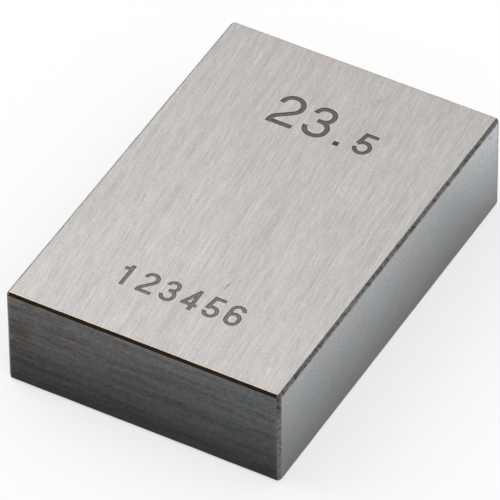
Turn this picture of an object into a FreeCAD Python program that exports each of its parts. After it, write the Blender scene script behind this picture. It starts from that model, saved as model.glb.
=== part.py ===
"""Rectangular steel gauge block, 23.5 mm nominal size.

One piece of hardened steel with the standard 35 mm x 9 mm section.

Frame, in millimetres: the block lies on its plain 35 mm side.
  X  measuring direction, square to the two lapped faces
  Y  the 35 mm length of the section, from the near end to the far end
  Z  the 9 mm thickness, up to the marked side
The origin is the middle of the side that it rests on.
"""

import FreeCAD, Part
import math
import os

import Sketcher
from FreeCAD import Vector

NODE = "gauge_block"

# name, value, what it is. Lengths are in millimetres, angles in degrees.
SIZES = [
    ("nominal_size", 23.5, "distance between the two lapped measuring faces"),
    ("block_length", 35.0, "long side of the section"),
    ("block_thickness", 9.0, "short side of the section"),
    ("side_edge_break", 0.23, "leg of the break on the four edges of the bar"),
    ("face_edge_break", 0.24, "leg of the break around each measuring face"),
    ("mark_depth", 0.02, "depth of the etched figures"),
    ("size_height", 3.50, "height of the whole millimetres of the size mark"),
    ("size_width", 2.20, "width of one of those figures"),
    ("size_stroke", 0.42, "line width of those figures"),
    ("size_gap", 0.60, "gap between those figures"),
    ("point_side", 0.46, "side of the square decimal point"),
    ("point_gap_before", 0.84, "gap before the decimal point"),
    ("point_gap_after", 1.00, "gap after the decimal point"),
    ("decimal_height", 2.40, "height of the decimals of the size mark"),
    ("decimal_width", 1.55, "width of one decimal"),
    ("decimal_stroke", 0.35, "line width of the decimals"),
    ("decimal_gap", 0.45, "gap between the decimals"),
    ("size_from_far_end", 8.90, "far end to the foot of the size mark"),
    ("size_shift", 0.45, "middle of the size mark, right of the block's middle"),
    ("number_value", 123456, "running number etched near the other end"),
    ("number_height", 2.28, "height of the figures of the running number"),
    ("number_width", 1.32, "width of one of those figures"),
    ("number_stroke", 0.33, "line width of those figures"),
    ("number_gap", 0.53, "gap between those figures"),
    ("number_from_near_end", 4.93, "near end to the foot of the running number"),
]

# Proportions of the figures, as shares of a figure's own height or width.
WAIST = 0.53            # height at which the two bowls of a 3 or an 8 meet
UPPER_INSET = 0.05      # how far the upper bowl of a 3 or an 8 is drawn in, each side
TONGUE = 0.37           # left end of the middle stroke of a 3
BOWL = 0.64             # height of the closed bowl of a 6 or a 9
SWEEP_OF_2 = 0.8        # most of the room under the head that the sweep of a 2 may take
STEM_OF_4 = 0.70        # place of the upright of a 4
BAR_OF_4 = 0.27         # height of the cross stroke of a 4
FOOT_OF_7 = 0.32        # place of the foot of a 7
LEAN_OF_5 = 0.14        # how far the upright of a 5 leans
TOP_OF_5 = 0.95         # right end of the top stroke of a 5
FLAG_REACH = 0.42       # length of the flag of a 1, from the middle of its stem
FLAG_HEIGHT = 0.79      # height of the flag of a 1

HOOK_END = 14.0         # angle above level at which the open end of a 6 or a 9 stops
BOWL_START_OF_5 = 152.0     # angle at which the bowl of a 5 leaves its upright
BOWL_END_OF_5 = -172.0      # angle at which the bowl of a 5 stops

OVERSHOOT = 0.5         # how far the cutting tools stand above the marked side
MATCH = 1e-6            # two lengths closer than this are the same
ETCH_SLACK = 0.001      # share by which the metal cut away may differ from the tools'

# Names of the sketch's own parts: its axes, and the ends and the lines of the section.
SKETCH_X_AXIS = -1
SKETCH_ORIGIN = (-1, 1)
START, END = range(1, 3)
BOTTOM, LOWER_RIGHT, RIGHT, UPPER_RIGHT, TOP, UPPER_LEFT, LEFT, LOWER_LEFT = range(8)


# --- one stroke of a figure, as a flat face ---------------------------------

def at(centre, radius, angle):
    """Point at an angle in degrees on a circle in the XY plane."""
    turn = math.radians(angle)
    return centre + Vector(radius * math.cos(turn), radius * math.sin(turn), 0)


def face_from(edges):
    return Part.Face(Part.Wire(Part.__sortEdges__(edges)))


def line(start, end):
    return Part.LineSegment(start, end).toShape()


def bar(start, end, stroke):
    """Straight stroke from start to end, square at both ends."""
    along = (end - start).normalize()
    side = Vector(-along.y, along.x, 0) * (stroke / 2)
    corners = [start + side, end + side, end - side, start - side]
    pairs = zip(corners, corners[1:] + corners[:1])
    return face_from([line(a, b) for a, b in pairs])


def bend(centre, radius, first, last, stroke):
    """Round stroke about centre, from the first angle to the last, in degrees."""
    inner = radius - stroke / 2
    outer = radius + stroke / 2
    middle = (first + last) / 2
    edges = [
        Part.Arc(at(centre, outer, first), at(centre, outer, middle),
                 at(centre, outer, last)).toShape(),
        line(at(centre, outer, last), at(centre, inner, last)),
        Part.Arc(at(centre, inner, last), at(centre, inner, middle),
                 at(centre, inner, first)).toShape(),
        line(at(centre, inner, first), at(centre, outer, first)),
    ]
    return face_from(edges)


# --- the ten figures ---------------------------------------------------------

class Figure:
    """Centre lines of one figure: its box is width by height, from the origin."""

    def __init__(self, width, height, stroke):
        self.width = width
        self.height = height
        self.stroke = stroke
        self.left = stroke / 2
        self.right = width - stroke / 2
        self.foot = stroke / 2
        self.head = height - stroke / 2
        self.middle = width / 2
        self.radius = (self.right - self.left) / 2

    def bar(self, x1, y1, x2, y2):
        return bar(Vector(x1, y1, 0), Vector(x2, y2, 0), self.stroke)

    def bend(self, x, y, radius, first, last):
        return bend(Vector(x, y, 0), radius, first, last, self.stroke)

    def ring(self, left, right, low, high):
        """Closed round-cornered loop between two heights."""
        radius = min(right - left, high - low) / 2
        strokes = []
        corners = [(right - radius, high - radius, 0), (left + radius, high - radius, 90),
                   (left + radius, low + radius, 180), (right - radius, low + radius, 270)]
        for x, y, first in corners:
            strokes.append(self.bend(x, y, radius, first, first + 90))
        if high - low > 2 * radius + MATCH:
            strokes.append(self.bar(left, low + radius, left, high - radius))
            strokes.append(self.bar(right, low + radius, right, high - radius))
        if right - left > 2 * radius + MATCH:
            strokes.append(self.bar(left + radius, low, right - radius, low))
            strokes.append(self.bar(left + radius, high, right - radius, high))
        return strokes

    def hook(self, left, right, low, high):
        """Right half of a loop, with its radius and the middle of its round corners."""
        radius = min((high - low) / 2, (right - left) / 2)
        across = right - radius
        strokes = [self.bend(across, high - radius, radius, 0, 90),
                   self.bend(across, low + radius, radius, 270, 360)]
        if high - low > 2 * radius + MATCH:
            strokes.append(self.bar(right, low + radius, right, high - radius))
        return strokes, radius, across

    def zero(self):
        return self.ring(self.left, self.right, self.foot, self.head)

    def one(self):
        stem = self.middle
        level = self.height * FLAG_HEIGHT
        radius = self.head - level
        return [self.bar(stem, 0, stem, self.height),
                self.bend(stem - radius, level + radius, radius, 270, 360),
                self.bar(stem - self.width * FLAG_REACH, level, stem - radius, level)]

    def two(self):
        """Round head, then a slope that is tangent to it and to the sweep of the foot."""
        head = Vector(self.middle, self.head - self.radius, 0)
        room = head.y - self.foot - self.radius
        sweep = min(self.radius, room * SWEEP_OF_2)
        heel = Vector(self.left + sweep, self.foot, 0)
        across = heel - head
        turn = math.atan2(across.y, across.x) + math.acos((self.radius + sweep) / across.Length)
        turn = math.degrees(turn)
        leave = at(head, self.radius, turn)
        arrive = at(heel, sweep, turn + 180)
        return [self.bend(head.x, head.y, self.radius, turn, 180),
                self.bar(leave.x, leave.y, arrive.x, arrive.y),
                self.bend(heel.x, heel.y, sweep, turn + 180, 180),
                self.bar(0, self.foot, self.width, self.foot)]

    def bowl_of_three(self, left, right, low, high, upper):
        """One bowl of a 3, open on the left, with its half of the middle stroke."""
        strokes, radius, across = self.hook(left, right, low, high)
        end = high if upper else low
        waist = low if upper else high
        centre = end - radius if upper else end + radius
        first = 90 if upper else 180
        strokes.append(self.bend(left + radius, centre, radius, first, first + 90))
        strokes.append(self.bar(self.width * TONGUE, waist, across, waist))
        if across > left + radius + MATCH:
            strokes.append(self.bar(left + radius, end, across, end))
        return strokes

    def three(self):
        waist = self.height * WAIST
        inset = self.width * UPPER_INSET
        upper = self.bowl_of_three(self.left + inset, self.right - inset,
                                   waist, self.head, upper=True)
        lower = self.bowl_of_three(self.left, self.right, self.foot, waist, upper=False)
        return upper + lower

    def four(self):
        stem = self.width * STEM_OF_4
        level = self.height * BAR_OF_4
        return [self.bar(stem, 0, stem, self.height),
                self.bar(0, level, self.width, level),
                self.bar(self.left, level, stem, self.head)]

    def five(self):
        centre = Vector(self.middle, self.foot + self.radius, 0)
        start = at(centre, self.radius, BOWL_START_OF_5)
        top = start.x + self.width * LEAN_OF_5
        return [self.bend(centre.x, centre.y, self.radius, BOWL_END_OF_5, BOWL_START_OF_5),
                self.bar(start.x, start.y, top, self.head),
                self.bar(top - self.stroke / 2, self.head, self.width * TOP_OF_5, self.head)]

    def six(self):
        high = self.height * BOWL - self.stroke / 2
        bowl = self.ring(self.left, self.right, self.foot, max(high, self.foot + 2 * self.radius))
        return bowl + [
            self.bar(self.left, self.foot + self.radius, self.left, self.head - self.radius),
            self.bend(self.middle, self.head - self.radius, self.radius, HOOK_END, 180)]

    def seven(self):
        return [self.bar(0, self.head, self.width, self.head),
                self.bar(self.right, self.head, self.width * FOOT_OF_7, self.foot)]

    def eight(self):
        waist = self.height * WAIST
        inset = self.width * UPPER_INSET
        return (self.ring(self.left, self.right, self.foot, waist)
                + self.ring(self.left + inset, self.right - inset, waist, self.head))

    def nine(self):
        turned = []
        for stroke in self.six():
            turned.append(stroke.rotated(Vector(self.middle, self.height / 2, 0),
                                         Vector(0, 0, 1), 180))
        return turned


DRAW = {"0": Figure.zero, "1": Figure.one, "2": Figure.two, "3": Figure.three,
        "4": Figure.four, "5": Figure.five, "6": Figure.six, "7": Figure.seven,
        "8": Figure.eight, "9": Figure.nine}


# --- rows of figures, as cutting tools ----------------------------------------

def figure_tool(strokes, place, depth):
    """Fuse the strokes of one figure to one solid that stands on its floor."""
    rise = Vector(0, 0, depth + OVERSHOOT)
    solids = [stroke.extrude(rise) for stroke in strokes]
    tool = solids[0].fuse(solids[1:]).removeSplitter()
    tool.translate(place)
    return tool


def row_of_digits(text, width, height, stroke, gap):
    """List of (strokes, width, gap after it), one for each digit of the text."""
    shapes = []
    for digit in text:
        shapes.append((DRAW[digit](Figure(width, height, stroke)), width, gap))
    return shapes


def size_row(value):
    """The size mark: large whole millimetres, the point and small decimals."""
    whole, _, decimals = f"{value['nominal_size']:g}".partition(".")
    row = row_of_digits(whole, value["size_width"], value["size_height"],
                        value["size_stroke"], value["size_gap"])
    if decimals:
        side = value["point_side"]
        strokes, width, _ = row[-1]
        row[-1] = (strokes, width, value["point_gap_before"])
        point = bar(Vector(0, side / 2, 0), Vector(side, side / 2, 0), side)
        row.append(([point], side, value["point_gap_after"]))
        row += row_of_digits(decimals, value["decimal_width"], value["decimal_height"],
                             value["decimal_stroke"], value["decimal_gap"])
    return row


def number_row(value):
    return row_of_digits(str(round(value["number_value"])), value["number_width"],
                         value["number_height"], value["number_stroke"], value["number_gap"])


def place_row(row, middle, foot, floor, depth):
    """Cutting tools of a row whose middle and foot line are given."""
    length = sum(width + gap for _, width, gap in row) - row[-1][2]
    x = middle - length / 2
    tools = []
    for strokes, width, gap in row:
        tools.append(figure_tool(strokes, Vector(x, foot, floor), depth))
        x += width + gap
    return tools


def mark_tools(value):
    depth = value["mark_depth"]
    floor = value["block_thickness"] - depth
    far_end = value["block_length"] / 2
    tools = place_row(size_row(value), value["size_shift"],
                      far_end - value["size_from_far_end"], floor, depth)
    tools += place_row(number_row(value), 0,
                       value["number_from_near_end"] - far_end, floor, depth)
    return tools


# --- the document --------------------------------------------------------------

def make_sheet(doc):
    sheet = doc.addObject("Spreadsheet::Sheet", "sizes")
    for row, (name, number, note) in enumerate(SIZES, start=1):
        sheet.set(f"A{row}", name)
        sheet.set(f"B{row}", str(number))
        sheet.set(f"C{row}", note)
        sheet.setAlias(f"B{row}", name)
    doc.recompute()
    return sheet


def origin_plane(body, role):
    for feature in body.Origin.OriginFeatures:
        if feature.Role == role:
            return feature
    raise RuntimeError(f"no {role} in {body.Label}")


def draw_section(body, value):
    """Section of the bar, square to X: a rectangle with its four corners broken."""
    sketch = body.newObject("Sketcher::SketchObject", "section")
    sketch.AttachmentSupport = [(origin_plane(body, "YZ_Plane"), "")]
    sketch.MapMode = "FlatFace"
    half = value["block_length"] / 2
    high = value["block_thickness"]
    leg = value["side_edge_break"]
    points = [(leg - half, 0), (half - leg, 0), (half, leg), (half, high - leg),
              (half - leg, high), (leg - half, high), (-half, high - leg), (-half, leg)]
    corners = [Vector(x, y, 0) for x, y in points]
    count = len(corners)
    for index in range(count):
        sketch.addGeometry(Part.LineSegment(corners[index], corners[(index + 1) % count]))
    for index in range(count):
        sketch.addConstraint(
            Sketcher.Constraint("Coincident", index, END, (index + 1) % count, START))
    for level in (BOTTOM, TOP):
        sketch.addConstraint(Sketcher.Constraint("Horizontal", level))
    for upright in (RIGHT, LEFT):
        sketch.addConstraint(Sketcher.Constraint("Vertical", upright))
    sketch.addConstraint(Sketcher.Constraint("PointOnObject", BOTTOM, START, SKETCH_X_AXIS))

    def measured(kind, first, second, number, expression):
        rule = Sketcher.Constraint(kind, *first, *second, number)
        index = sketch.addConstraint(rule)
        sketch.setExpression(f"Constraints[{index}]", expression)

    measured("DistanceX", SKETCH_ORIGIN, (RIGHT, START), half, "sizes.block_length / 2")
    measured("DistanceX", (LEFT, START), SKETCH_ORIGIN, half, "sizes.block_length / 2")
    measured("DistanceY", (BOTTOM, START), (TOP, END), high, "sizes.block_thickness")
    # Each break, with its end that lies further left and its end that lies lower.
    for corner, leftmost, lowest in ((LOWER_RIGHT, START, START), (UPPER_RIGHT, END, START),
                                     (UPPER_LEFT, END, END), (LOWER_LEFT, START, END)):
        rightmost = END if leftmost == START else START
        highest = END if lowest == START else START
        measured("DistanceX", (corner, leftmost), (corner, rightmost), leg,
                 "sizes.side_edge_break")
        measured("DistanceY", (corner, lowest), (corner, highest), leg,
                 "sizes.side_edge_break")
    return sketch


def make_blank(doc, value):
    """The plain block: the section carried across, its measuring faces' edges broken."""
    body = doc.addObject("PartDesign::Body", "blank")
    sketch = draw_section(body, value)
    doc.recompute()
    pad = body.newObject("PartDesign::Pad", "bar")
    pad.Profile = sketch
    pad.SideType = "Symmetric"
    pad.setExpression("Length", "sizes.nominal_size")
    doc.recompute()
    half = value["nominal_size"] / 2
    rims = []
    for index, edge in enumerate(pad.Shape.Edges, start=1):
        if all(abs(abs(vertex.X) - half) < MATCH for vertex in edge.Vertexes) \
                and abs(edge.Vertexes[0].X - edge.Vertexes[1].X) < MATCH:
            rims.append(f"Edge{index}")
    chamfer = body.newObject("PartDesign::Chamfer", "face_edges")
    chamfer.Base = (pad, rims)
    chamfer.setExpression("Size", "sizes.face_edge_break")
    body.Tip = chamfer
    doc.recompute()
    return body


def make_marks(doc, value):
    """Figures as one tool: their strokes follow the sheet through this file's code."""
    marks = doc.addObject("Part::Feature", "marks")
    marks.Shape = Part.makeCompound(mark_tools(value))
    return marks


def check(doc, block, blank, marks, value):
    for item in doc.Objects:
        if "Invalid" in item.State or "Error" in item.State:
            raise RuntimeError(f"{item.Label} did not build: {item.State}")
    shape = block.Shape
    if shape.isNull() or not shape.isValid() or len(shape.Solids) != 1:
        raise RuntimeError("the block is not one valid solid")
    etched = sum(tool.Volume for tool in marks.Shape.Solids)
    etched *= value["mark_depth"] / (value["mark_depth"] + OVERSHOOT)
    if abs(blank.Shape.Volume - etched - shape.Volume) > etched * ETCH_SLACK:
        raise RuntimeError("the figures did not cut to their depth")
    size = shape.BoundBox
    wanted = (value["nominal_size"], value["block_length"], value["block_thickness"])
    for built, asked in zip((size.XLength, size.YLength, size.ZLength), wanted):
        if abs(built - asked) > MATCH:
            raise RuntimeError(f"a side measures {built}, not {asked}")
    print(f"{NODE}: {shape.Volume:.2f} mm3, {len(shape.Faces)} faces, "
          f"{etched:.3f} mm3 etched away")


def main():
    doc = FreeCAD.newDocument("gauge_block")
    sheet = make_sheet(doc)
    value = {name: float(sheet.get(name)) for name, _, _ in SIZES}
    blank = make_blank(doc, value)
    marks = make_marks(doc, value)
    block = doc.addObject("Part::Cut", NODE)
    block.Label = NODE
    block.Base = blank
    block.Tool = marks
    doc.recompute()
    check(doc, block, blank, marks, value)
    os.makedirs("parts", exist_ok=True)
    block.Shape.exportStep(f"parts/{block.Label}.step")


main()
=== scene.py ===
"""Steel gauge block: the finish of its faces, edges and etched figures, and a small studio.

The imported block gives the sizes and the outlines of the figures. The block is built again here
with softened edges, a finish for each kind of face, and a map that gives the marked side most room.
"""

import math

import bmesh
import bpy
from mathutils import Matrix, Vector, noise


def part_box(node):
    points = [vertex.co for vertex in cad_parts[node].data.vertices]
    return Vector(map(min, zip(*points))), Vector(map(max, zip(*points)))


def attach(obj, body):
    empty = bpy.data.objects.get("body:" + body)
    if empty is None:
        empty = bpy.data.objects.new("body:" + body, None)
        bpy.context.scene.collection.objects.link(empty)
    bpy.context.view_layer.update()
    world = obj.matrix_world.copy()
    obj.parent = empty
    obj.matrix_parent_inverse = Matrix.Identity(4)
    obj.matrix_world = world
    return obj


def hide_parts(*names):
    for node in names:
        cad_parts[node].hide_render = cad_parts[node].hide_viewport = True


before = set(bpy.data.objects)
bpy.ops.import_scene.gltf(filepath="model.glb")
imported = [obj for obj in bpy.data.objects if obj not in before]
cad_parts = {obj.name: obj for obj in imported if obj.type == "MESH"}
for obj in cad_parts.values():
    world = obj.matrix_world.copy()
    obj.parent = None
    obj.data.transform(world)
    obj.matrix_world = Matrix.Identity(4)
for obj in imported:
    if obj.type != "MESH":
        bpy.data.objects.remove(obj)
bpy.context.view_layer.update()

bl_info = {
    "name": "Gauge Block Finish",
    "version": (1, 0, 0),
    "blender": (4, 5, 0),
    "location": "View3D > Sidebar > Gauge Block",
    "description": "Builds a lapped and ground steel gauge block and its studio",
    "category": "Object",
}

NODE = "gauge_block"
BODY = "root"
LOW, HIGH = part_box(NODE)
MIDDLE = (HIGH + LOW) / 2
HALF = (HIGH - LOW) / 2

MM = 0.001
PER_MM = 1000.0

# Material slots of the block, in order.
SIDE, LAPPED, END, RIM, BAR, FIGURE, STROKE_EDGE = range(7)

# How a face or an edge of the blank is told from its direction.
LEVEL = 0.01                          # a strip along an axis leans no more than this to it
SLANTED = math.cos(math.radians(30.0))  # a face that no axis comes nearer to is a break
RIM_LEAN = 0.3                        # a break around a measuring face looks this far along X
BORDER_ANGLE = math.radians(20.0)     # the least turn between a break and its neighbour
SHARP_ANGLE = math.radians(40.0)      # a turn that shading doesn't round over

SAME_PLACE = 1e-4                     # share of a length within which two places are the same

# How the borders of the hand-stoned breaks stray: waves a millimetre and their weight, the
# lengths over which the straying fades towards a corner, and shifts that keep breaks unlike.
WANDER_WAVES = ((0.45, 1.0), (1.3, 0.6))
WANDER_FADE = 4
SIDE_SHIFT = 11.0
BORDER_SHIFT = 7.0

PRISM_RISE = 0.5 * MM                 # how far the cutting prisms stand above the floors
LEVEL_GAP = 0.001 * MM                # heights closer than this are one level

# Marks, in millimetres: from, to, half width, and how bright against the steel around them.
SIDE_MARKS_AND_GLINTS = (
    ((2.62, -8.42, 9.0), (2.58, -8.72, 9.0), 0.11, 0.80),
    ((2.58, -8.72, 9.0), (2.50, -9.22, 9.0), 0.12, 0.68),
    # Painted glint: these three are scratches by the near corner, painted lighter than the steel
    # around them.
    ((9.66, -15.15, 9.0), (9.84, -16.30, 9.0), 0.13, 1.16),
    ((9.28, -14.05, 9.0), (9.28, -14.50, 9.0), 0.12, 1.14),
    ((8.30, -13.55, 9.0), (8.32, -13.75, 9.0), 0.11, 1.16),
    ((2.50, 14.20, 9.0), (2.95, 14.80, 9.0), 0.45, 0.93),
)
FIGURE_MARKS = (                      # the decimal point is etched darker
    ((2.08, 8.80, 9.0), (2.12, 8.86, 9.0), 0.60, 0.50),
)
LAPPED_MARKS = (
    ((11.75, 15.65, 8.25), (11.75, 16.05, 7.95), 0.22, 0.72),
)

MARK_CORE = 0.3                       # share of a mark's half width at its full strength

# Room on the map, as shares of its width: between two sides, and for a metre of a side.
MAP_GAP = 0.005
MARKED_SCALE = 21.4                   # the marked side and the near end
LAPPED_SCALE = 18.5
HIDDEN_SCALE = 13.6                   # the bottom and the far end

# The warm tint painted on the sides where they meet the dark edges, for the warm fringe of the edge
# highlight.
EDGE_HIGHLIGHT_TINT = (1.0, 0.93, 0.82)

# Where the light comes from, seen from the block.
BRIGHT_SIDE = (-0.45, 0.63, 0.64)
LEFT_LIGHT = (-0.75, 0.05, 0.62)
RIGHT_LIGHT = (0.55, -0.35, 0.76)
SKY_TURN = 0.7                        # how far to each side the sky goes from bright to dim

# The stage, in metres.
FLOOR_HALF = 3.0
FLOOR_GAP = 0.002 * MM                # the block clears the floor by this
CLIP_START = 0.01

# Base roughness of each finish.
SIDE_ROUGHNESS = 0.34
LAPPED_ROUGHNESS = 0.16
STONED_ROUGHNESS = 0.34               # the stoned border of a lapped face
END_ROUGHNESS = 0.36
RIM_ROUGHNESS = 0.42
BAR_ROUGHNESS = 0.42
FIGURE_ROUGHNESS = 0.55
FLOOR_ROUGHNESS = 0.9
FIGURE_METAL = 0.6

# Depth of the relief that shading shows, in millimetres.
GRAIN_DEPTH = 0.0016
ETCH_DEPTH = 0.004


# --- sizes and colours --------------------------------------------------------

class GaugeBlockSizes(bpy.types.PropertyGroup):
    """Small sizes that the finish adds to the block."""

    side_edge_break: bpy.props.FloatProperty(
        name="Side edge break",
        description="Leg of the break on the four edges of the bar",
        default=0.23 * MM, min=0.0, unit="LENGTH", subtype="DISTANCE")
    face_edge_break: bpy.props.FloatProperty(
        name="Face edge break",
        description="Leg of the break around each measuring face",
        default=0.24 * MM, min=0.0, unit="LENGTH", subtype="DISTANCE")
    softening: bpy.props.FloatProperty(
        name="Edge softening",
        description="How far the border of each break is rounded over",
        default=0.045 * MM, min=0.0, unit="LENGTH", subtype="DISTANCE")
    softening_steps: bpy.props.IntProperty(
        name="Softening steps",
        description="Faces across each rounded border",
        default=3, min=1)
    stroke_edge: bpy.props.FloatProperty(
        name="Stroke edge",
        description="Width of the darker band along the edges of the etched strokes",
        default=0.075 * MM, min=0.0, unit="LENGTH", subtype="DISTANCE")
    wander: bpy.props.FloatProperty(
        name="Hand wander",
        description="How far the border of a hand-stoned break strays to either side",
        default=0.02 * MM, min=0.0, unit="LENGTH", subtype="DISTANCE")
    wander_step: bpy.props.FloatProperty(
        name="Wander step",
        description="Spacing of the points along each break",
        default=0.5 * MM, min=0.1 * MM, unit="LENGTH", subtype="DISTANCE")


class GaugeBlockFinish(bpy.types.PropertyGroup):
    """Colours of the steel in its several finishes."""

    side_colour: bpy.props.FloatVectorProperty(
        name="Ground side",
        description="Colour of the finely ground sides",
        default=(0.633, 0.606, 0.590), size=3, min=0.0, max=1.0, subtype="COLOR")
    lapped_colour: bpy.props.FloatVectorProperty(
        name="Lapped face",
        description="Colour of the lapped measuring faces",
        default=(0.322, 0.337, 0.349), size=3, min=0.0, max=1.0, subtype="COLOR")
    # The ends are written far darker than the steel of the sides: partly their own ground tone,
    # partly painted shade.
    end_colour: bpy.props.FloatVectorProperty(
        name="Ground end",
        description="Colour of the ends, ground across",
        default=(0.109, 0.108, 0.107), size=3, min=0.0, max=1.0, subtype="COLOR")
    rim_colour: bpy.props.FloatVectorProperty(
        name="Stoned rim",
        description="Colour of the hand-stoned rims of the measuring faces",
        default=(0.180, 0.171, 0.161), size=3, min=0.0, max=1.0, subtype="COLOR")
    # Painted shade: the breaks between the sides and the ends are written near black.
    bar_colour: bpy.props.FloatVectorProperty(
        name="Dark edge",
        description="Colour of the dark breaks between the sides and the ends",
        default=(0.032, 0.022, 0.015), size=3, min=0.0, max=1.0, subtype="COLOR")
    figure_colour: bpy.props.FloatVectorProperty(
        name="Etched figures",
        description="Colour of the etched floor of the figures",
        default=(0.140, 0.122, 0.105), size=3, min=0.0, max=1.0, subtype="COLOR")
    # Partly the etch's own dark rim, partly painted shade in the shallow recess.
    stroke_edge_colour: bpy.props.FloatVectorProperty(
        name="Stroke edges",
        description="Colour of the darker edges of the etched strokes",
        default=(0.062, 0.052, 0.042), size=3, min=0.0, max=1.0, subtype="COLOR")
    grain_tilt: bpy.props.FloatProperty(
        name="Grain tilt",
        description="Angle of the grinding lines of the marked side from its long edges",
        default=math.radians(4.0), unit="ROTATION", subtype="ANGLE")


class GaugeBlockStudio(bpy.types.PropertyGroup):
    """Camera, floor and light."""

    azimuth: bpy.props.FloatProperty(
        name="Azimuth",
        description="Camera's turn to the right about the block",
        default=math.radians(29.58), unit="ROTATION", subtype="ANGLE")
    elevation: bpy.props.FloatProperty(
        name="Elevation",
        description="Camera's height above level",
        default=math.radians(43.43), unit="ROTATION", subtype="ANGLE")
    roll: bpy.props.FloatProperty(
        name="Roll",
        description="Camera's turn about its own axis",
        default=math.radians(-0.639), unit="ROTATION", subtype="ANGLE")
    distance: bpy.props.FloatProperty(
        name="Distance",
        description="Camera to the point that it looks at",
        default=0.62043, min=0.0, unit="LENGTH", subtype="DISTANCE")
    lens: bpy.props.FloatProperty(
        name="Lens",
        description="Focal length in millimetres",
        default=586.4, min=1.0)
    aim: bpy.props.FloatVectorProperty(
        name="Aim",
        description="Point that the camera looks at",
        default=(-0.2264 * MM, -0.5093 * MM, 4.5 * MM), size=3, unit="LENGTH",
        subtype="TRANSLATION")
    floor_colour: bpy.props.FloatVectorProperty(
        name="Floor",
        description="Colour of the pale floor",
        default=(0.93, 0.93, 0.93), size=3, min=0.0, max=1.0, subtype="COLOR")
    floor_lift: bpy.props.FloatProperty(
        name="Floor lift",
        description="How far the floor that the camera and the metal see is lifted to white",
        default=0.6, min=0.0, max=1.0, subtype="FACTOR")
    bright_sky: bpy.props.FloatProperty(
        name="Bright side",
        description="Strength of the surrounding light at its brightest",
        default=1.00, min=0.0)
    dim_sky: bpy.props.FloatProperty(
        name="Dim side",
        description="Strength of the surrounding light opposite its brightest side",
        default=0.30, min=0.0)
    left_strength: bpy.props.FloatProperty(
        name="Left light",
        description="Strength of the soft light from the left, in watts a square metre",
        default=0.9, min=0.0)
    right_strength: bpy.props.FloatProperty(
        name="Right light",
        description="Strength of the soft light from the near right, in watts a square metre",
        default=0.9, min=0.0)
    light_spread: bpy.props.FloatProperty(
        name="Light spread",
        description="Width of each soft light in the sky, which softens its shadow",
        default=math.radians(60.0), unit="ROTATION", subtype="ANGLE")


# --- mesh helpers ---------------------------------------------------------------

def blank_mesh(sizes):
    """The plain block, with hand-broken edges whose borders are softly rounded."""
    bm = bmesh.new()
    bmesh.ops.create_cube(bm, size=1.0)
    bmesh.ops.scale(bm, vec=HIGH - LOW, verts=bm.verts)
    bmesh.ops.translate(bm, vec=MIDDLE, verts=bm.verts)
    near = HALF.x * SAME_PLACE

    def on_rim(vert):
        return abs(abs(vert.co.x) - HALF.x) < near

    bars = [e for e in bm.edges if on_rim(e.verts[0]) and on_rim(e.verts[1])
            and e.verts[0].co.x * e.verts[1].co.x < 0]
    bmesh.ops.bevel(bm, geom=bars, offset=sizes.side_edge_break, offset_type="OFFSET",
                    segments=1, affect="EDGES")
    rims = [e for e in bm.edges if on_rim(e.verts[0]) and on_rim(e.verts[1])
            and e.verts[0].co.x * e.verts[1].co.x > 0]
    bmesh.ops.bevel(bm, geom=rims, offset=sizes.face_edge_break, offset_type="OFFSET",
                    segments=1, affect="EDGES")
    for axis in range(3):
        divide_breaks(bm, axis, sizes.wander_step)
    stray(bm, sizes)
    borders = [e for e in bm.edges if e.calc_face_angle(0.0) > BORDER_ANGLE]
    bmesh.ops.bevel(bm, geom=borders, offset=sizes.softening, offset_type="OFFSET",
                    segments=sizes.softening_steps, profile=0.5, affect="EDGES")
    return bm


def divide_breaks(bm, axis, step):
    """Cut the breaks that run along an axis into short lengths."""
    across = Vector([1.0 if k == axis else 0.0 for k in range(3)])
    count = round(2 * HALF[axis] / step)
    for k in range(1, count):
        point = MIDDLE + across * (2 * HALF[axis] * k / count - HALF[axis])
        strips = [f for f in bm.faces if abs(f.normal[axis]) < LEVEL
                  and max(abs(part) for part in f.normal) < SLANTED]
        # A dictionary keeps its items in order, which a set need not.
        parts = dict.fromkeys(item for f in strips for item in (*f.verts, *f.edges, f))
        bmesh.ops.bisect_plane(bm, geom=list(parts), dist=step * SAME_PLACE,
                               plane_co=point, plane_no=across)


def stray(bm, sizes):
    """Let the borders of the breaks stray within the faces that they lie on."""
    reach = 2 * max(sizes.side_edge_break, sizes.face_edge_break)
    for vert in bm.verts:
        inset = [HALF[k] - abs(vert.co[k] - MIDDLE[k]) for k in range(3)]
        flat, border, along = sorted(range(3), key=lambda k: inset[k])
        if inset[border] > reach:
            continue
        fade = min(1.0, max(0.0, (inset[along] - reach) / (WANDER_FADE * reach)))
        place = vert.co / MM + Vector((SIDE_SHIFT * flat, BORDER_SHIFT * border, 0.0))
        swing = sum(weight * noise.noise(place * waves) for waves, weight in WANDER_WAVES)
        side = 1.0 if vert.co[border] > MIDDLE[border] else -1.0
        vert.co[border] += side * fade * swing * sizes.wander


def figure_prisms():
    """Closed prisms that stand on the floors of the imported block's figures."""
    source = bpy.data.objects[NODE].data
    levels = {round(v.co.z / MM, 4) for v in source.vertices}
    floor = sorted(levels)[-2] * MM
    bm = bmesh.new()
    bm.from_mesh(source)
    bmesh.ops.remove_doubles(bm, verts=bm.verts, dist=LEVEL_GAP / 10)
    spare = [f for f in bm.faces
             if f.normal.z < SLANTED or any(abs(v.co.z - floor) > LEVEL_GAP for v in f.verts)]
    bmesh.ops.delete(bm, geom=spare, context="FACES")
    prisms = raised_prisms(bm, PRISM_RISE)
    bm.free()
    return prisms


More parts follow.
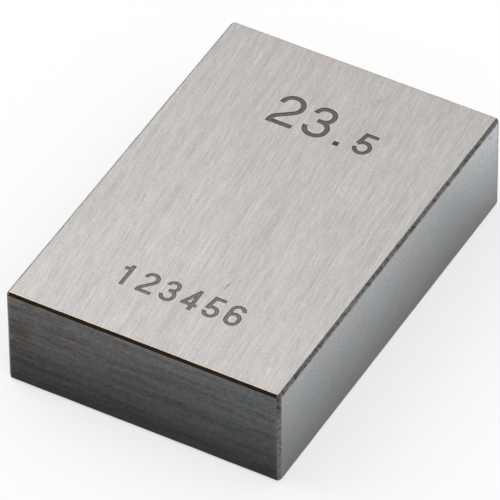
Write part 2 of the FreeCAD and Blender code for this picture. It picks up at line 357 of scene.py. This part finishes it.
def raised_prisms(floors, rise):
    """Closed prisms on flat floors that look up, made in one order on every run."""
    bm = bmesh.new()
    floors.verts.index_update()
    low = [bm.verts.new(v.co) for v in floors.verts]
    high = [bm.verts.new(v.co + Vector((0.0, 0.0, rise))) for v in floors.verts]
    for face in floors.faces:
        ring = [v.index for v in face.verts]
        bm.faces.new([high[k] for k in ring])
        bm.faces.new([low[k] for k in reversed(ring)])
        for loop in face.loops:
            if loop.edge.is_boundary:
                start, end = loop.vert.index, loop.link_loop_next.vert.index
                bm.faces.new((low[start], low[end], high[end], high[start]))
    return bm


def as_object(name, bm, materials):
    """A scene object from a built mesh."""
    mesh = bpy.data.meshes.new(name)
    bm.to_mesh(mesh)
    bm.free()
    for material in materials:
        mesh.materials.append(material)
    made = bpy.data.objects.new(name, mesh)
    bpy.context.scene.collection.objects.link(made)
    return made


def applied(made):
    """Swap the object's mesh for the one its modifiers make."""
    graph = bpy.context.evaluated_depsgraph_get()
    mesh = bpy.data.meshes.new_from_object(
        made.evaluated_get(graph), preserve_all_data_layers=True, depsgraph=graph)
    made.modifiers.clear()
    spent = made.data
    made.data = mesh
    bpy.data.meshes.remove(spent)
    mesh.name = made.name


def cut_figures(block, prisms):
    """Cut the figures into the marked side and drop the prisms."""
    cut = block.modifiers.new("figures", "BOOLEAN")
    cut.operation = "DIFFERENCE"
    cut.solver = "EXACT"
    cut.material_mode = "INDEX"
    cut.object = prisms
    applied(block)
    spent = prisms.data
    bpy.data.objects.remove(prisms)
    bpy.data.meshes.remove(spent)


def give_slots(mesh):
    """Each face takes the finish of the side that it looks out of."""
    for face in mesh.polygons:
        if face.material_index in (FIGURE, STROKE_EDGE):
            continue
        x, y, z = (abs(part) for part in face.normal)
        if z > SLANTED:
            face.material_index = SIDE
        elif x > SLANTED:
            face.material_index = LAPPED
        elif y > SLANTED:
            face.material_index = END
        else:
            face.material_index = RIM if x > RIM_LEAN else BAR


def line_figures(mesh, width):
    """Darken the walls of the figures and a narrow band along the borders of their floors: partly
    the etch's own dark rim, partly painted shade in the shallow recess.
    """
    bm = bmesh.new()
    bm.from_mesh(mesh)
    figures = [f for f in bm.faces if f.material_index == FIGURE]
    floors = [f for f in figures if f.normal.z > SLANTED]
    walls = [f for f in figures if f.normal.z <= SLANTED]
    bands = bmesh.ops.inset_region(bm, faces=floors, thickness=width, use_boundary=True,
                                   use_even_offset=True)
    for face in walls + bands["faces"]:
        face.material_index = STROKE_EDGE
    bm.to_mesh(mesh)
    bm.free()


def map_places():
    """Where the side that looks along each axis lies on the map, as shares of its width.

    The key is the axis and its sense. The value is the scale, the left and the lower corner,
    the axes that run across and up, and the sense of the one across.
    """
    wide, long, thick = HIGH - LOW
    second = 2 * MAP_GAP + wide * MARKED_SCALE
    third = second + thick * LAPPED_SCALE + MAP_GAP
    fourth = third + thick * LAPPED_SCALE + MAP_GAP
    over_marked = 2 * MAP_GAP + long * MARKED_SCALE
    over_lapped = 2 * MAP_GAP + long * LAPPED_SCALE
    return {
        (2, 1): (MARKED_SCALE, MAP_GAP, MAP_GAP, 0, 1, 1),
        (1, -1): (MARKED_SCALE, MAP_GAP, over_marked, 0, 2, 1),
        (0, 1): (LAPPED_SCALE, second, MAP_GAP, 2, 1, -1),
        (0, -1): (LAPPED_SCALE, third, MAP_GAP, 2, 1, 1),
        (1, 1): (HIDDEN_SCALE, fourth, MAP_GAP, 2, 0, 1),
        (2, -1): (HIDDEN_SCALE, second, over_lapped, 1, 0, 1),
    }


def lay_map(mesh):
    """Lay every face flat on the side that it looks out of."""
    layer = mesh.uv_layers.new(name="OFBake")
    places = map_places()
    for face in mesh.polygons:
        carved = face.material_index in (FIGURE, STROKE_EDGE)
        axis = 2 if carved else max((2, 0, 1), key=lambda k: round(abs(face.normal[k]), 2))
        sense = 1 if carved or face.normal[axis] > 0 else -1
        scale, left, lower, across, up, way = places[axis, sense]
        for loop in face.loop_indices:
            place = mesh.vertices[mesh.loops[loop].vertex_index].co.copy()
            if carved:
                place -= face.normal * (HIGH.z - place.z)
            start = LOW[across] if way > 0 else HIGH[across]
            layer.data[loop].uv = (left + (place[across] - start) * way * scale,
                                   lower + (place[up] - LOW[up]) * scale)


def smooth_over(block):
    """Round the shading of the soft borders and keep the big faces flat."""
    mesh = block.data
    bm = bmesh.new()
    bm.from_mesh(mesh)
    for face in bm.faces:
        face.smooth = True
    for edge in bm.edges:
        edge.smooth = edge.calc_face_angle(math.pi) < SHARP_ANGLE
    bm.to_mesh(mesh)
    bm.free()
    weighted = block.modifiers.new("flat faces", "WEIGHTED_NORMAL")
    weighted.mode = "FACE_AREA"
    weighted.weight = 100
    weighted.keep_sharp = True
    applied(block)


# --- material helpers -----------------------------------------------------------

class Finish:
    """A node material with a Principled shader and short ways to feed it.

    Its coordinates are millimetres on the block.
    """

    def __init__(self, name, colour, roughness, metallic=1.0):
        self.material = bpy.data.materials.new(name)
        self.material.use_nodes = True
        self.tree = self.material.node_tree
        self.tree.nodes.clear()
        self.output = self.add("ShaderNodeOutputMaterial")
        self.shader = self.add("ShaderNodeBsdfPrincipled")
        self.join(self.shader.outputs["BSDF"], self.output.inputs["Surface"])
        self.shader.inputs["Base Color"].default_value = (*colour, 1.0)
        self.shader.inputs["Roughness"].default_value = roughness
        self.shader.inputs["Metallic"].default_value = metallic
        scaled = self.add("ShaderNodeVectorMath", operation="SCALE")
        self.join(self.add("ShaderNodeTexCoord").outputs["Object"], scaled.inputs[0])
        scaled.inputs["Scale"].default_value = PER_MM
        self.place = scaled.outputs["Vector"]
        split = self.add("ShaderNodeSeparateXYZ")
        self.join(self.place, split.inputs[0])
        self.x, self.y, self.z = split.outputs

    def join(self, source, target):
        self.tree.links.new(source, target)

    def add(self, kind, **settings):
        node = self.tree.nodes.new(kind)
        for name, value in settings.items():
            setattr(node, name, value)
        return node

    def feed(self, value, target):
        """Give an input a number, a colour or another node's output."""
        if isinstance(value, bpy.types.NodeSocket):
            self.join(value, target)
        else:
            target.default_value = value

    def math(self, operation, first, second=0.0):
        made = self.add("ShaderNodeMath", operation=operation)
        self.feed(first, made.inputs[0])
        self.feed(second, made.inputs[1])
        return made.outputs["Value"]

    def noise(self, sizes, tilt=0.0, shift=(0.0, 0.0, 0.0), detail=2.0, roughness=0.5):
        """Noise whose marks have the given sizes, turned in the plane of the marked side."""
        turned = self.add("ShaderNodeMapping", vector_type="POINT")
        turned.inputs["Rotation"].default_value = (0.0, 0.0, -tilt)
        self.join(self.place, turned.inputs["Vector"])
        scaled = self.add("ShaderNodeMapping", vector_type="POINT")
        scaled.inputs["Scale"].default_value = [1.0 / size for size in sizes]
        scaled.inputs["Location"].default_value = shift
        self.join(turned.outputs["Vector"], scaled.inputs["Vector"])
        made = self.add("ShaderNodeTexNoise")
        made.inputs["Scale"].default_value = 1.0
        made.inputs["Detail"].default_value = detail
        made.inputs["Roughness"].default_value = roughness
        self.join(scaled.outputs["Vector"], made.inputs["Vector"])
        return made.outputs["Fac"]

    def spread(self, value, low, high, to_low=0.0, to_high=1.0, soft=False):
        made = self.add("ShaderNodeMapRange")
        if soft:
            made.interpolation_type = "SMOOTHSTEP"
        made.inputs["From Min"].default_value = low
        made.inputs["From Max"].default_value = high
        made.inputs["To Min"].default_value = to_low
        made.inputs["To Max"].default_value = to_high
        self.join(value, made.inputs["Value"])
        return made.outputs["Result"]

    def weighed(self, parts):
        """One plus the sum of (noise, weight) pairs, each noise centred on a half."""
        total = 1.0
        for value, weight in parts:
            centred = self.math("SUBTRACT", value, 0.5)
            total = self.math("ADD", self.math("MULTIPLY", centred, weight), total)
        return total

    def times(self, *factors):
        total = factors[0]
        for factor in factors[1:]:
            total = self.math("MULTIPLY", total, factor)
        return total

    def scaled(self, colour, factor):
        made = self.add("ShaderNodeVectorMath", operation="SCALE")
        self.feed(colour, made.inputs[0])
        self.join(factor, made.inputs["Scale"])
        return made.outputs["Vector"]

    def tinted(self, colour, value, tint):
        """A colour pushed towards a tint and away from it by a noise centred on a half."""
        push = self.scaled(tint, self.math("SUBTRACT", value, 0.5))
        made = self.add("ShaderNodeVectorMath", operation="ADD")
        self.feed(colour, made.inputs[0])
        self.join(push, made.inputs[1])
        return made.outputs["Vector"]

    def mixed(self, factor, first, second):
        """One colour turning to another as the factor goes from zero to one."""
        made = self.add("ShaderNodeMix", data_type="RGBA")
        self.join(factor, made.inputs["Factor"])
        self.join(first, made.inputs[6])
        self.join(second, made.inputs[7])
        return made.outputs[2]

    def mark(self, start, end, width, strength):
        """A factor that is one, and another strength along a short line."""
        along = Vector(end) - Vector(start)
        place = self.vector("SUBTRACT", self.place, start).outputs["Vector"]
        reach = self.vector("DOT_PRODUCT", place, along.normalized()).outputs["Value"]
        reach = self.math("MINIMUM", self.math("MAXIMUM", reach, 0.0), along.length)
        nearest = self.scaled(along.normalized(), reach)
        off = self.vector("DISTANCE", place, nearest).outputs["Value"]
        return self.spread(off, MARK_CORE * width, width, strength, 1.0, soft=True)

    def vector(self, operation, first, second):
        made = self.add("ShaderNodeVectorMath", operation=operation)
        self.feed(first, made.inputs[0])
        self.feed(second, made.inputs[1])
        return made

    def from_border(self, axis):
        """Distance in from the nearest border of the face that looks along an axis."""
        insets = []
        for k, place in enumerate((self.x, self.y, self.z)):
            if k != axis:
                out = self.math("ABSOLUTE", self.math("SUBTRACT", place, MIDDLE[k] / MM))
                insets.append(self.math("SUBTRACT", HALF[k] / MM, out))
        return self.math("MINIMUM", *insets)

    def lift(self, share):
        """Mix plain white into what the camera, metal and glass see of this surface."""
        rays = self.add("ShaderNodeLightPath").outputs
        seen = self.math("MAXIMUM", rays["Is Camera Ray"], rays["Is Glossy Ray"])
        seen = self.math("MAXIMUM", seen, rays["Is Transmission Ray"])
        white = self.add("ShaderNodeEmission")
        white.inputs["Color"].default_value = (1.0, 1.0, 1.0, 1.0)
        white.inputs["Strength"].default_value = 1.0
        made = self.add("ShaderNodeMixShader")
        self.join(self.math("MULTIPLY", seen, share), made.inputs["Fac"])
        self.join(self.shader.outputs["BSDF"], made.inputs[1])
        self.join(white.outputs["Emission"], made.inputs[2])
        self.join(made.outputs["Shader"], self.output.inputs["Surface"])

    def set_colour(self, colour):
        self.join(colour, self.shader.inputs["Base Color"])

    def set_roughness(self, value):
        self.join(value, self.shader.inputs["Roughness"])

    def bump(self, height, depth_mm):
        made = self.add("ShaderNodeBump")
        made.inputs["Strength"].default_value = 1.0
        made.inputs["Distance"].default_value = depth_mm * MM
        self.join(height, made.inputs["Height"])
        self.join(made.outputs["Normal"], self.shader.inputs["Normal"])


# --- the finishes -----------------------------------------------------------------

def ground_side(look):
    """Fine grinding lines along the block, slightly off its long edges, with painted light across
    the side, painted glints on its scratches and a painted warm highlight tint along its borders
    with the ends.
    """
    steel = Finish("ground side", look.side_colour, SIDE_ROUGHNESS)
    tilt = look.grain_tilt
    short = steel.noise((0.16, 1.6, 1.0), 2.0 * tilt, detail=2.0, roughness=0.6)
    fine = steel.noise((0.20, 6.0, 1.0), 1.4 * tilt, (5.3, 1.7, 0.0), 2.0, 0.6)
    medium = steel.noise((0.60, 14.0, 1.0), 0.8 * tilt, (3.1, 7.7, 0.0))
    cloud = steel.noise((1.2, 4.5, 1.0), tilt, (8.1, 4.4, 0.0), detail=3.0)
    broad = steel.noise((5.0, 12.0, 1.0), tilt, (1.3, 2.9, 0.0), 1.0)
    speck = steel.noise((0.15, 0.22, 1.0), 0.0, (2.2, 9.4, 0.0), 1.0)
    grain = steel.weighed([(short, 0.42), (fine, 0.40), (medium, 0.13), (cloud, 0.09),
                           (broad, 0.05), (speck, 0.36)])
    threads = steel.noise((0.12, 7.0, 1.0), 1.6 * tilt, (4.9, 0.3, 0.0), 1.0)
    bright_threads = steel.spread(threads, 0.70, 0.80, 1.0, 1.09, soft=True)
    dark_threads = steel.spread(threads, 0.20, 0.30, 0.91, 1.0, soft=True)
    # Painted light: the side is lighter towards its near end and its left, darker towards its far
    # end and its right.
    painted_light_falloff = steel.times(steel.spread(steel.y, -HALF.y / MM, HALF.y / MM, 1.075, 0.925),
                       steel.spread(steel.x, -HALF.x / MM, HALF.x / MM, 1.02, 0.98))
    marks = [steel.mark(*mark) for mark in SIDE_MARKS_AND_GLINTS]
    colour = steel.scaled(look.side_colour,
                          steel.times(grain, bright_threads, dark_threads, painted_light_falloff, *marks))
    colour = steel.tinted(colour, steel.noise((0.4, 1.0, 1.0), 0.0, (6.0, 3.0, 0.0)),
                          (0.12, -0.03, 0.02))
    colour = steel.tinted(colour, steel.noise((0.4, 1.0, 1.0), 0.0, (1.0, 8.0, 0.0)),
                          (-0.03, 0.0, 0.10))
    # Painted highlight: a warm tint along the borders with the ends, for the warm fringe of the
    # edge highlight.
    inset = steel.math("SUBTRACT", HALF.y / MM, steel.math("ABSOLUTE", steel.y))
    highlight_fringe = steel.spread(inset, 0.25, 0.55, 1.0, 0.0, soft=True)
    highlight_tinted = steel.vector("MULTIPLY", colour, EDGE_HIGHLIGHT_TINT).outputs["Vector"]
    steel.set_colour(steel.mixed(highlight_fringe, colour, highlight_tinted))
    steel.set_roughness(steel.spread(medium, 0.3, 0.7, 0.30, 0.38))
    steel.bump(fine, GRAIN_DEPTH)
    return steel.material


def stoned(steel, colour):
    """Mottled colour of a hand-stoned rim, with painted shade that darkens the upright rims at the
    ends towards the top, and the noise that mottles it.
    """
    blots = steel.noise((0.30, 0.36, 0.36), detail=3.0, roughness=0.6)
    fine = steel.noise((0.12, 0.12, 0.12), detail=1.0)
    mottle = steel.math("MULTIPLY", steel.weighed([(blots, 2.2), (fine, 0.6)]),
                        steel.spread(blots, 0.38, 0.46, 0.60, 1.0, soft=True))
    out = steel.math("ABSOLUTE", steel.y)
    # Painted shade: the upright rims at the ends are darker, most of all towards the top.
    upright = steel.spread(out, HALF.y / MM - 0.45, HALF.y / MM - 0.2)
    fall = steel.spread(steel.z, 6.3, 7.3, 0.86, 0.57, soft=True)
    painted_upright_shade = steel.math("MULTIPLY", upright, steel.math("SUBTRACT", 1.0, fall))
    shade = steel.math("SUBTRACT", 1.0, painted_upright_shade)
    return steel.scaled(colour, steel.times(mottle, shade)), blots


def lapped_colour(steel, look):
    """Cool grey of the lapped faces, with painted shade deepening towards the lower edge and the
    near end, and painted light towards the far end.
    """
    haze = steel.noise((1.0, 2.4, 1.6), detail=3.0)
    fine = steel.noise((0.20, 0.20, 0.20), detail=1.0)
    # Painted shade and light: darker towards the lower edge and the near end, brighter towards the
    # far end.
    painted_low_shade = steel.spread(steel.z, 0.0, 8.5, 0.22, 1.03)
    painted_near_shade = steel.spread(steel.y, -HALF.y / MM, -4.0, 0.92, 1.0)
    painted_far_light = steel.spread(steel.y, 10.0, HALF.y / MM, 1.0, 1.36)
    grain = steel.weighed([(haze, 0.14), (fine, 0.65)])
    grey = steel.scaled(look.lapped_colour, steel.times(grain, painted_low_shade, painted_near_shade, painted_far_light))
    mottle = steel.noise((0.4, 0.6, 0.4), shift=(5.0, 2.0, 9.0))
    return steel.tinted(grey, mottle, (0.09, -0.03, -0.03))


def lapped_face(look):
    """Smooth mirror-like lapped steel with a faint haze, stoned along its borders."""
    steel = Finish("lapped face", look.lapped_colour, LAPPED_ROUGHNESS)
    rim, blots = stoned(steel, look.rim_colour)
    ragged = steel.math("ADD", steel.from_border(0), steel.spread(blots, 0.3, 0.7, -0.06, 0.06))
    inner = steel.spread(ragged, 0.24, 0.48, soft=True)
    face = lapped_colour(steel, look)
    for start, end, width, strength in LAPPED_MARKS:
        face = steel.scaled(face, steel.mark(start, end, width, strength))
    steel.set_colour(steel.mixed(inner, rim, face))
    steel.set_roughness(steel.spread(inner, 0.0, 1.0, STONED_ROUGHNESS, LAPPED_ROUGHNESS))
    return steel.material


def ground_end(look):
    """Ends ground across the block, written darker than the sides partly as painted shade, with
    painted shade darkest along the bottom and a painted warm reflection towards the left.
    """
    steel = Finish("ground end", look.end_colour, END_ROUGHNESS)
    fine = steel.noise((1.8, 1.0, 0.16), detail=2.0, roughness=0.6)
    medium = steel.noise((9.0, 1.0, 0.40), shift=(2.0, 0.0, 5.0))
    smears = steel.noise((2.2, 1.0, 0.5), shift=(4.0, 0.0, 8.0), detail=3.0)
    broad = steel.noise((6.0, 1.0, 3.0), shift=(7.0, 0.0, 1.0), detail=1.0)
    speck = steel.noise((0.2, 1.0, 0.18), shift=(1.0, 0.0, 2.0), detail=1.0)
    grain = steel.weighed([(fine, 0.70), (medium, 1.10), (broad, 0.2), (speck, 0.90)])
    smear_limit = steel.spread(steel.x, -HALF.x / MM, -0.4 * HALF.x / MM, 0.68, 1.0)
    dark_smears = steel.spread(smears, 0.32, 0.50, 0.0, 1.0, soft=True)
    dark_smears = steel.math("MAXIMUM", dark_smears, smear_limit)
    threads = steel.noise((9.0, 1.0, 0.12), shift=(6.0, 0.0, 3.0), detail=1.0)
    bright_threads = steel.spread(threads, 0.68, 0.80, 1.0, 1.25, soft=True)
    # Painted shade: darker towards the bottom.
    painted_low_shade = steel.spread(steel.z, 0.0, 8.8, 0.25, 1.06)
    # Lighter in a narrow band along the borders of the end.
    lighter_border = steel.spread(steel.from_border(1), 0.25, 0.65, 1.2, 1.0, soft=True)
    # Painted reflection: warmer towards the left, cooler towards the right.
    across = steel.spread(steel.x, -HALF.x / MM, HALF.x / MM)
    painted_warm_reflection = steel.tinted(look.end_colour, across, (-0.010, 0.0, 0.006))
    colour = steel.scaled(painted_warm_reflection,
                          steel.times(grain, dark_smears, bright_threads, painted_low_shade, lighter_border))
    colour = steel.tinted(colour, smears, (-0.02, 0.0, 0.02))
    colour = steel.tinted(colour, steel.noise((0.5, 1.0, 0.4), shift=(3.0, 0.0, 6.0)),
                          (0.03, -0.01, -0.015))
    steel.set_colour(colour)
    steel.set_roughness(steel.spread(medium, 0.3, 0.7, 0.32, 0.42))
    steel.bump(fine, GRAIN_DEPTH)
    return steel.material


def stoned_rim(look):
    """Mottled breaks around the measuring faces."""
    steel = Finish("stoned rim", look.rim_colour, RIM_ROUGHNESS)
    rim, blots = stoned(steel, look.rim_colour)
    steel.set_colour(rim)
    steel.set_roughness(steel.spread(blots, 0.3, 0.7, 0.36, 0.50))
    return steel.material


def dark_edge(look):
    """Breaks between the sides and the ends, mottled, and painted near black as shade."""
    steel = Finish("dark edge", look.bar_colour, BAR_ROUGHNESS)
    blots = steel.noise((0.8, 0.3, 0.3), detail=3.0, roughness=0.6)
    steel.set_colour(steel.scaled(look.bar_colour, steel.weighed([(blots, 1.6)])))
    steel.set_roughness(steel.spread(blots, 0.3, 0.7, 0.36, 0.50))
    return steel.material


def etched_figure(name, colour):
    """Matt dark floor of the etched figures, shallower and paler in the number row."""
    steel = Finish(name, colour, FIGURE_ROUGHNESS, metallic=FIGURE_METAL)
    blots = steel.noise((0.22, 0.5, 1.0), detail=3.0, roughness=0.6)
    paler = steel.spread(steel.y, -6.0, 0.0, 1.55, 1.0)
    marks = [steel.mark(*mark) for mark in FIGURE_MARKS]
    mottle = steel.weighed([(blots, 1.3)])
    steel.set_colour(steel.scaled(colour, steel.times(mottle, paler, *marks)))
    steel.set_roughness(steel.spread(blots, 0.3, 0.7, 0.48, 0.62))
    steel.bump(blots, ETCH_DEPTH)
    return steel.material


# --- operators ----------------------------------------------------------------------

class GAUGE_OT_build_block(bpy.types.Operator):
    """Build the gauge block with its softened edges, etched figures and finishes"""

    bl_idname = "gauge.build_block"
    bl_label = "Build Gauge Block"

    def execute(self, context):
        sizes = context.scene.gauge_block_sizes
        look = context.scene.gauge_block_finish
        finishes = [ground_side(look), lapped_face(look), ground_end(look), stoned_rim(look),
                    dark_edge(look), etched_figure("etched figure", look.figure_colour),
                    etched_figure("stroke edge", look.stroke_edge_colour)]
        block = as_object("steel_block", blank_mesh(sizes), finishes)
        give_slots(block.data)
        prisms = as_object("figure_prisms", figure_prisms(), finishes)
        for face in prisms.data.polygons:
            face.material_index = FIGURE
        cut_figures(block, prisms)
        line_figures(block.data, sizes.stroke_edge)
        lay_map(block.data)
        smooth_over(block)
        if not any(face.material_index == FIGURE for face in block.data.polygons):
            raise RuntimeError("the figures were not cut into the block")
        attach(block, BODY)
        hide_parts(NODE)
        return {"FINISHED"}


class GAUGE_OT_build_stage(bpy.types.Operator):
    """Build the floor, the soft lights and the camera"""

    bl_idname = "gauge.build_stage"
    bl_label = "Build Stage"

    def execute(self, context):
        studio = context.scene.gauge_block_studio
        build_floor(studio)
        build_sky(studio)
        build_lamp("left light", LEFT_LIGHT, studio.left_strength, studio.light_spread)
        build_lamp("right light", RIGHT_LIGHT, studio.right_strength, studio.light_spread)
        build_camera(studio)
        context.scene.view_settings.view_transform = "Standard"
        return {"FINISHED"}


def build_floor(studio):
    """A wide pale floor just under the block."""
    bm = bmesh.new()
    bmesh.ops.create_grid(bm, x_segments=1, y_segments=1, size=FLOOR_HALF)
    floor = as_object("studio_floor", bm, [])
    floor.location.z = LOW.z - FLOOR_GAP
    paper = Finish("floor paper", studio.floor_colour, FLOOR_ROUGHNESS, metallic=0.0)
    paper.shader.inputs["Specular IOR Level"].default_value = 0.0
    paper.lift(studio.floor_lift)
    floor.data.materials.append(paper.material)


def build_sky(studio):
    """Surrounding light, brighter behind the block on the left and above."""
    world = bpy.data.worlds.new("studio light")
    world.use_nodes = True
    tree = world.node_tree
    tree.nodes.clear()
    place = tree.nodes.new("ShaderNodeTexCoord")
    towards = tree.nodes.new("ShaderNodeVectorMath")
    towards.operation = "DOT_PRODUCT"
    towards.inputs[1].default_value = Vector(BRIGHT_SIDE).normalized()
    tree.links.new(place.outputs["Generated"], towards.inputs[0])
    level = tree.nodes.new("ShaderNodeMapRange")
    level.interpolation_type = "SMOOTHSTEP"
    level.inputs["From Min"].default_value = -SKY_TURN
    level.inputs["From Max"].default_value = SKY_TURN
    level.inputs["To Min"].default_value = studio.dim_sky
    level.inputs["To Max"].default_value = studio.bright_sky
    tree.links.new(towards.outputs["Value"], level.inputs["Value"])
    light = tree.nodes.new("ShaderNodeBackground")
    tree.links.new(level.outputs["Result"], light.inputs["Strength"])
    output = tree.nodes.new("ShaderNodeOutputWorld")
    tree.links.new(light.outputs["Background"], output.inputs["Surface"])
    bpy.context.scene.world = world


def build_lamp(name, towards, strength, spread):
    """A soft light from far away in a given direction."""
    data = bpy.data.lights.new(name, "SUN")
    data.energy = strength
    data.angle = spread
    lamp = bpy.data.objects.new(name, data)
    lamp.rotation_euler = Vector(towards).to_track_quat("Z", "Y").to_euler()
    bpy.context.scene.collection.objects.link(lamp)


def build_camera(studio):
    """The camera, turned about the block and raised above level."""
    turn, rise = studio.azimuth, studio.elevation
    back = Vector((math.sin(turn) * math.cos(rise), -math.cos(turn) * math.cos(rise),
                   math.sin(rise)))
    level = Vector((0.0, 0.0, 1.0)).cross(back).normalized()
    upward = back.cross(level)
    right = level * math.cos(studio.roll) + upward * math.sin(studio.roll)
    up = upward * math.cos(studio.roll) - level * math.sin(studio.roll)
    data = bpy.data.cameras.new("camera")
    data.lens = studio.lens
    data.clip_start = CLIP_START
    camera = bpy.data.objects.new("camera", data)
    bpy.context.scene.collection.objects.link(camera)
    camera.matrix_world = Matrix.Translation(Vector(studio.aim) + back * studio.distance) @ \
        Matrix((right, up, back)).transposed().to_4x4()
    bpy.context.scene.camera = camera


# --- panel and registration -----------------------------------------------------------

class GAUGE_PT_panel(bpy.types.Panel):
    """Gauge block sizes, finish and stage"""

    bl_idname = "GAUGE_PT_panel"
    bl_label = "Gauge Block"
    bl_space_type = "VIEW_3D"
    bl_region_type = "UI"
    bl_category = "Gauge Block"

    def draw(self, context):
        scene = context.scene
        for label, group, operator in (
                ("Sizes", scene.gauge_block_sizes, None),
                ("Finish", scene.gauge_block_finish, GAUGE_OT_build_block.bl_idname),
                ("Stage", scene.gauge_block_studio, GAUGE_OT_build_stage.bl_idname)):
            box = self.layout.box()
            box.label(text=label)
            for name in group.__annotations__:
                box.prop(group, name)
            if operator:
                box.operator(operator)


CLASSES = (GaugeBlockSizes, GaugeBlockFinish, GaugeBlockStudio,
           GAUGE_OT_build_block, GAUGE_OT_build_stage, GAUGE_PT_panel)


def register():
    for item in CLASSES:
        bpy.utils.register_class(item)
    scene = bpy.types.Scene
    scene.gauge_block_sizes = bpy.props.PointerProperty(type=GaugeBlockSizes)
    scene.gauge_block_finish = bpy.props.PointerProperty(type=GaugeBlockFinish)
    scene.gauge_block_studio = bpy.props.PointerProperty(type=GaugeBlockStudio)


def unregister():
    del bpy.types.Scene.gauge_block_studio
    del bpy.types.Scene.gauge_block_finish
    del bpy.types.Scene.gauge_block_sizes
    for item in reversed(CLASSES):
        bpy.utils.unregister_class(item)


def main():
    register()
    bpy.ops.gauge.build_block()
    bpy.ops.gauge.build_stage()


if __name__ == "__main__":
    main()
